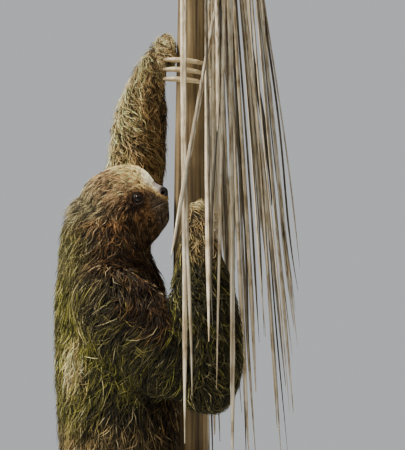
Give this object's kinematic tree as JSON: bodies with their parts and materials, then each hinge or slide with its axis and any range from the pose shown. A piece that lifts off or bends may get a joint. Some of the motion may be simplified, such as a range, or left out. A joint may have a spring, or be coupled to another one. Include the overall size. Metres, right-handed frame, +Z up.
{
  "type": "three-toed sloth figure",
  "caption": "Life-size still figure of a brown-throated three-toed sloth climbing a dry palm stalk, held by a flat display base with upright rods.",
  "frame": {"origin": "middle of the display base's underside", "axes": "+Z up along the stalk, +X from the animal's back towards the stalk it faces, -Y the animal's right side"},
  "size_m": [0.342, 0.246, 0.8602],
  "materials": {
    "back_coat": "long coarse hair, olive with algae",
    "arm_coat": "long coarse hair, grey brown",
    "head_coat": "short dense hair, tan",
    "throat_coat": "hair, dark brown",
    "hand_coat": "short hair, tan brown",
    "nose_skin": "bare skin, slightly moist",
    "eye": "glossy, dark brown",
    "claw": "horn, satin",
    "stalk": "dry fibrous palm stalk",
    "leaflet": "dry palm leaflets",
    "base_wood": "stained, satin",
    "rod_steel": "brushed"
  },
  "bodies": {
    "root": {"stand_base": "base_wood", "stand_stalk_rod": "rod_steel", "stand_body_rod": "rod_steel", "stand_stalk_collar": "rod_steel", "stand_body_collar": "rod_steel", "perch_stalk": "stalk", "perch_leaflets": "leaflet", "eye_right": "eye", "eye_left": "eye", "nose": "nose_skin", "lower_jaw": "throat_coat", "head": "head_coat", "trunk": "back_coat", "neck": "throat_coat", "tail": "back_coat", "left_upper_arm": "arm_coat", "left_forearm": "arm_coat", "right_upper_arm": "back_coat", "right_forearm": "back_coat", "right_hand": "hand_coat", "left_hand": "hand_coat", "right_thigh": "back_coat", "right_shin": "back_coat", "right_foot": "hand_coat", "left_thigh": "back_coat", "left_shin": "back_coat", "left_foot": "hand_coat", "right_hand_claw_upper": "claw", "right_hand_claw_middle": "claw", "right_hand_claw_lower": "claw", "left_hand_claw_upper": "claw", "left_hand_claw_middle": "claw", "left_hand_claw_lower": "claw", "right_foot_claw_upper": "claw", "right_foot_claw_middle": "claw", "right_foot_claw_lower": "claw", "left_foot_claw_upper": "claw", "left_foot_claw_middle": "claw", "left_foot_claw_lower": "claw"}
  },
  "joints": []
}
